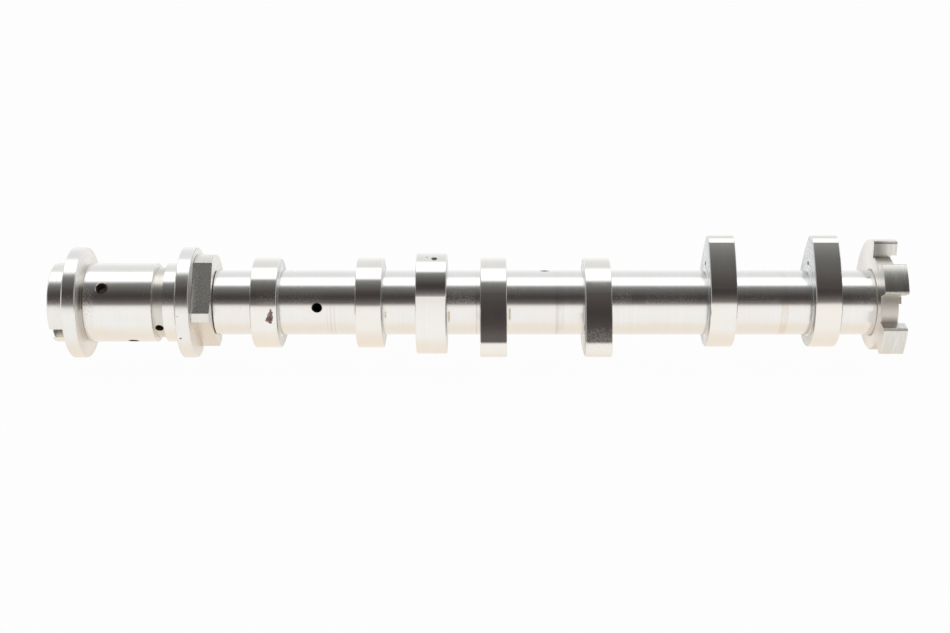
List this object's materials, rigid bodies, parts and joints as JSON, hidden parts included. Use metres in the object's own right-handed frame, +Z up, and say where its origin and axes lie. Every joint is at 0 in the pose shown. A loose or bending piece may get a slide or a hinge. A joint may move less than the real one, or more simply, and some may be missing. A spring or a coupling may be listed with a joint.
{
  "type": "camshaft",
  "caption": "Assembled camshaft: lobes, a pump cam and a toothed sensor wheel pressed on a hollow tube, with a flanged bearing journal and timing flats at its front end.",
  "frame": {"origin": "on the shaft's axis, in the middle of the front journal", "axes": "+X along the shaft from the front end to the sensor wheel, +Z up with the shaft lying at rest on its front flanges and sensor wheel"},
  "size_m": [0.3391, 0.0526, 0.0495],
  "materials": {
    "ground_steel": "ground round the axis",
    "hardened_steel": "finely ground",
    "sintered_steel": "sintered and machined, satin",
    "plug_steel": "pressed sheet, satin"
  },
  "bodies": {
    "root": {"front_journal": "ground_steel", "shaft_tube": "ground_steel", "lobe_1_front": "hardened_steel", "lobe_1_rear": "hardened_steel", "lobe_2_front": "hardened_steel", "lobe_2_rear": "hardened_steel", "lobe_3_front": "hardened_steel", "lobe_3_rear": "hardened_steel", "pump_cam": "hardened_steel", "sensor_wheel": "sintered_steel", "rear_plug": "plug_steel"}
  },
  "joints": []
}
